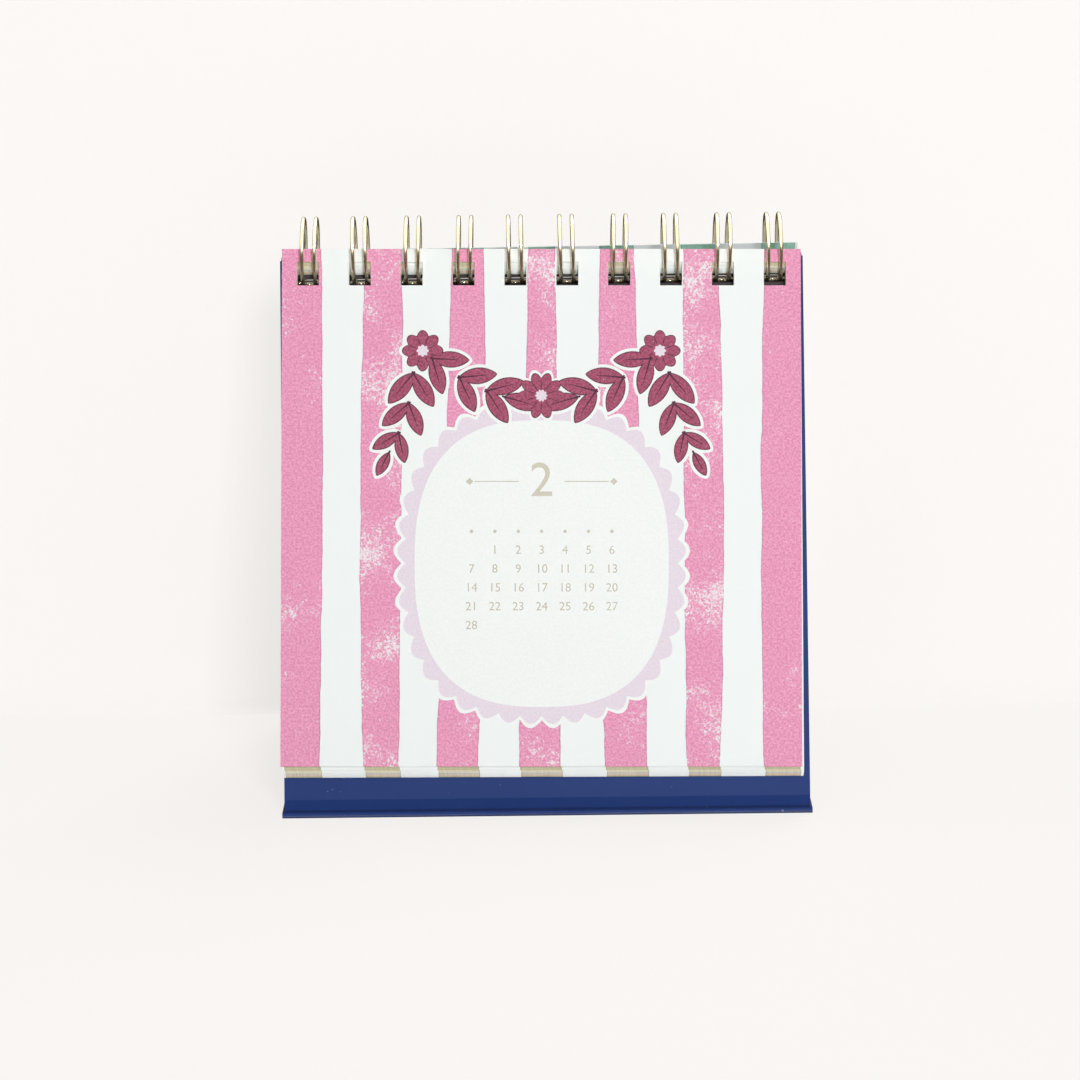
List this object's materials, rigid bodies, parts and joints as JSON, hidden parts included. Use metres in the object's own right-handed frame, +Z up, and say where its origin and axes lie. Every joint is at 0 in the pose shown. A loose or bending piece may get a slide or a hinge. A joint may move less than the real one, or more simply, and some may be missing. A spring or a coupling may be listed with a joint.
{
  "type": "standing desk calendar",
  "caption": "Standing desk calendar: square month leaves turning over a twin loop wire on a folded board easel.",
  "frame": {"origin": "middle of the underside of the easel's base, on the surface it stands on", "axes": "+Z up, the front leaves face -Y and lean back towards +Y, +X along the wire to the right seen from the front"},
  "size_m": [0.1298, 0.0848, 0.1416],
  "materials": {
    "easel_stand": "navy matte cover paper wrapped over board",
    "binding_wire": "champagne gold plated wire, bright",
    "leaf_cover": "uncoated white card",
    "leaf_january": "uncoated card with green and white stripes",
    "leaf_february": "uncoated card with pink and white stripes and a foil date grid",
    "leaf_march": "uncoated card with olive and white stripes",
    "leaf_inner": "uncoated white card with striped print"
  },
  "bodies": {
    "easel": {"easel_stand": "easel_stand", "binding_wire": "binding_wire", "leaf_cover": "leaf_cover", "leaf_march": "leaf_march", "leaf_april": "leaf_inner", "leaf_may": "leaf_inner", "leaf_june": "leaf_inner", "leaf_july": "leaf_inner", "leaf_august": "leaf_inner", "leaf_september": "leaf_inner", "leaf_october": "leaf_inner", "leaf_november": "leaf_inner", "leaf_december": "leaf_inner"},
    "february": {"leaf_february": "leaf_february"},
    "january": {"leaf_january": "leaf_january"}
  },
  "joints": [
    {"name": "february_turn", "type": "hinge", "parent": "easel", "child": "february", "pos_m": [0, 0, 0.13301], "axis": [-1, 0, 0], "range_deg": [0, 180]},
    {"name": "january_turn", "type": "hinge", "parent": "easel", "child": "january", "pos_m": [0, 0, 0.13301], "axis": [1, 0, 0], "range_deg": [0, 180]}
  ]
}
